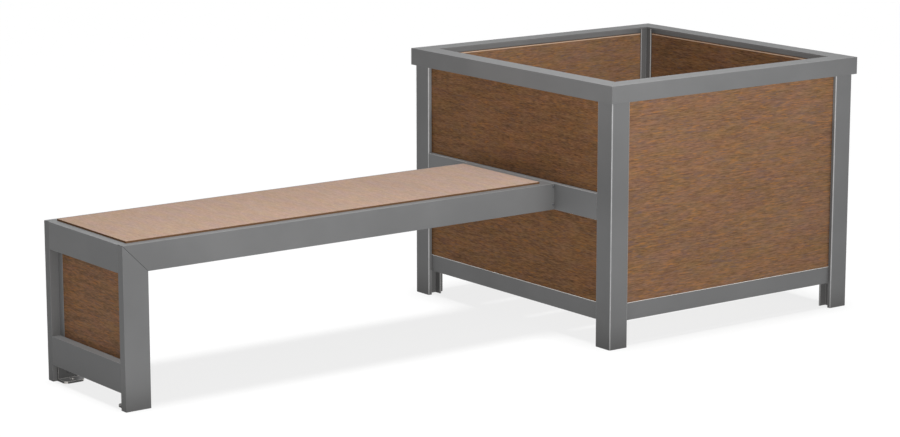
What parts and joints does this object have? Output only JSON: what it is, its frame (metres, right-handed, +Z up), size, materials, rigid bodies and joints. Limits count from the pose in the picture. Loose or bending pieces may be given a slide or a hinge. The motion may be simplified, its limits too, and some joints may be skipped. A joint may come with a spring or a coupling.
{
  "type": "bench with planter",
  "caption": "Backless park bench with a metal frame and board seat, bolted at one end to the side of an open square planter with framed board walls.",
  "frame": {"origin": "on the ground, under the middle of the whole object's box", "axes": "+X from the bench's free end to the planter, -Y the front, +Z up"},
  "size_m": [2.3756, 0.9538, 0.762],
  "materials": {
    "paint": "semi-gloss grey powder coat",
    "timber": "brown board with fine straight grain",
    "seat_timber": "brown board with fine straight grain, worn lighter",
    "steel": "dark zinc-plated steel"
  },
  "bodies": {
    "root": {"anchor_bolt_back": "steel", "anchor_bolt_front": "steel", "anchor_bracket_back": "paint", "anchor_bracket_front": "paint", "bench_leg_back": "paint", "bench_leg_front": "paint", "bottom_rail_back": "paint", "bottom_rail_bench": "paint", "bottom_rail_far": "paint", "bottom_rail_front": "paint", "cap_key_bench_back": "paint", "cap_key_bench_front": "paint", "cap_key_far_back": "paint", "cap_key_far_front": "paint", "cap_rail_back": "paint", "cap_rail_bench": "paint", "cap_rail_far": "paint", "cap_rail_front": "paint", "cross_rail": "paint", "edge_channel_back": "paint", "edge_channel_front": "paint", "end_board": "timber", "end_rail_bottom": "paint", "end_rail_top": "paint", "floor_cleat_bench": "paint", "floor_cleat_far": "paint", "floor_slat_1": "timber", "floor_slat_2": "timber", "floor_slat_3": "timber", "floor_slat_4": "timber", "joint_block_back": "steel", "joint_block_front": "steel", "joint_bolt_back": "steel", "joint_bolt_front": "steel", "joint_screw_back_lower": "steel", "joint_screw_back_upper": "steel", "joint_screw_front_lower": "steel", "joint_screw_front_upper": "steel", "middle_rail": "paint", "mitre_key_back": "steel", "mitre_key_front": "steel", "post_bench_back": "paint", "post_bench_front": "paint", "post_far_back": "paint", "post_far_front": "paint", "seat_bearer_1": "paint", "seat_bearer_2": "paint", "seat_bearer_3": "paint", "seat_board": "seat_timber", "seat_rail_back": "paint", "seat_rail_front": "paint", "side_board_back": "timber", "side_board_bench_lower": "timber", "side_board_bench_upper": "timber", "side_board_far": "timber", "side_board_front": "timber"}
  },
  "joints": []
}
